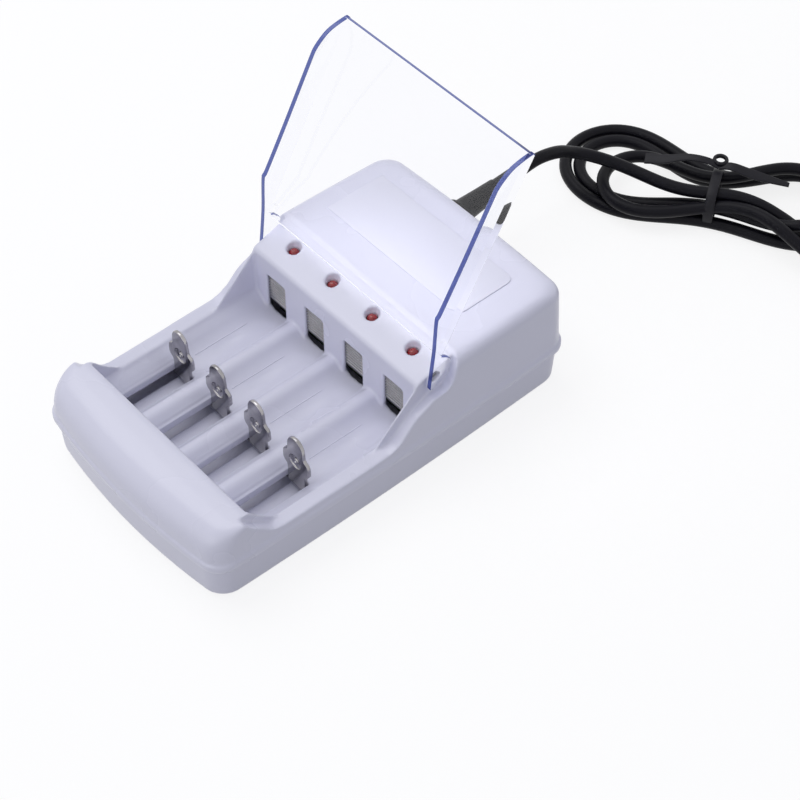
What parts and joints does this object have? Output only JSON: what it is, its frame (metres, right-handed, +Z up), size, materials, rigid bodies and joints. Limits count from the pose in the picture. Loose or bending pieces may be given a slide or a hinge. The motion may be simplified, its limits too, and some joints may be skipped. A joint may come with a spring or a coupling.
{
  "type": "battery charger",
  "caption": "Table-top charger for AA or AAA cells, with trough bays, sprung sliding contacts, indicator lamps, a clear hinged lid and a mains lead.",
  "frame": {"origin": "middle of the base in plan, on the underside", "axes": "+Z up, +Y from the front bumper to the rear wall where the lead comes out, +X to the right across the bays"},
  "size_m": [0.1193, 0.2837, 0.0956],
  "materials": {
    "white_plastic": "smooth moulded, soft gloss",
    "clear_plastic": "polished clear styrene",
    "nickel": "nickel plated sheet",
    "spring_steel": "plain",
    "red_lamp": "tinted, glossy",
    "circuit_board": "lacquered board",
    "capacitor_sleeve": "shrink sleeve",
    "transformer_core": "varnished",
    "label_film": "satin film, blank",
    "black_vinyl": "satin vinyl",
    "plated_brass": "bright"
  },
  "bodies": {
    "case": {"upper_shell": "white_plastic", "lower_shell": "white_plastic", "contact_spring_1": "spring_steel", "contact_spring_2": "spring_steel", "contact_spring_3": "spring_steel", "contact_spring_4": "spring_steel", "positive_contact_1": "nickel", "positive_contact_2": "nickel", "positive_contact_3": "nickel", "positive_contact_4": "nickel", "lamp_1": "red_lamp", "lamp_2": "red_lamp", "lamp_3": "red_lamp", "lamp_4": "red_lamp", "contact_board": "circuit_board", "power_board": "circuit_board", "transformer": "transformer_core", "capacitor_1": "capacitor_sleeve", "capacitor_2": "capacitor_sleeve", "case_screw_1": "spring_steel", "case_screw_2": "spring_steel", "case_screw_3": "spring_steel", "case_screw_4": "spring_steel", "label": "label_film", "strain_relief": "black_vinyl", "cord": "black_vinyl", "cord_hank": "black_vinyl", "cord_tail": "black_vinyl", "cord_tie": "black_vinyl", "plug": "black_vinyl", "plug_pin_1": "plated_brass", "plug_pin_2": "plated_brass"},
    "lid": {"lid": "clear_plastic"},
    "slider_1": {"negative_contact_1": "nickel"},
    "slider_2": {"negative_contact_2": "nickel"},
    "slider_3": {"negative_contact_3": "nickel"},
    "slider_4": {"negative_contact_4": "nickel"}
  },
  "joints": [
    {"name": "lid_hinge", "type": "hinge", "parent": "case", "child": "lid", "pos_m": [0, 0.016, 0.0325], "axis": [1, 0, 0], "range_deg": [0, 117.5]},
    {"name": "contact_slide_1", "type": "slide", "parent": "case", "child": "slider_1", "axis": [0, -1, 0], "range_m": [0, 0.017], "stiffness_N_per_m": 60, "springref_m": -0.004, "deforming": ["contact_spring_1"]},
    {"name": "contact_slide_2", "type": "slide", "parent": "case", "child": "slider_2", "axis": [0, -1, 0], "range_m": [0, 0.017], "stiffness_N_per_m": 60, "springref_m": -0.004, "deforming": ["contact_spring_2"]},
    {"name": "contact_slide_3", "type": "slide", "parent": "case", "child": "slider_3", "axis": [0, -1, 0], "range_m": [0, 0.017], "stiffness_N_per_m": 60, "springref_m": -0.004, "deforming": ["contact_spring_3"]},
    {"name": "contact_slide_4", "type": "slide", "parent": "case", "child": "slider_4", "axis": [0, -1, 0], "range_m": [0, 0.017], "stiffness_N_per_m": 60, "springref_m": -0.004, "deforming": ["contact_spring_4"]}
  ]
}
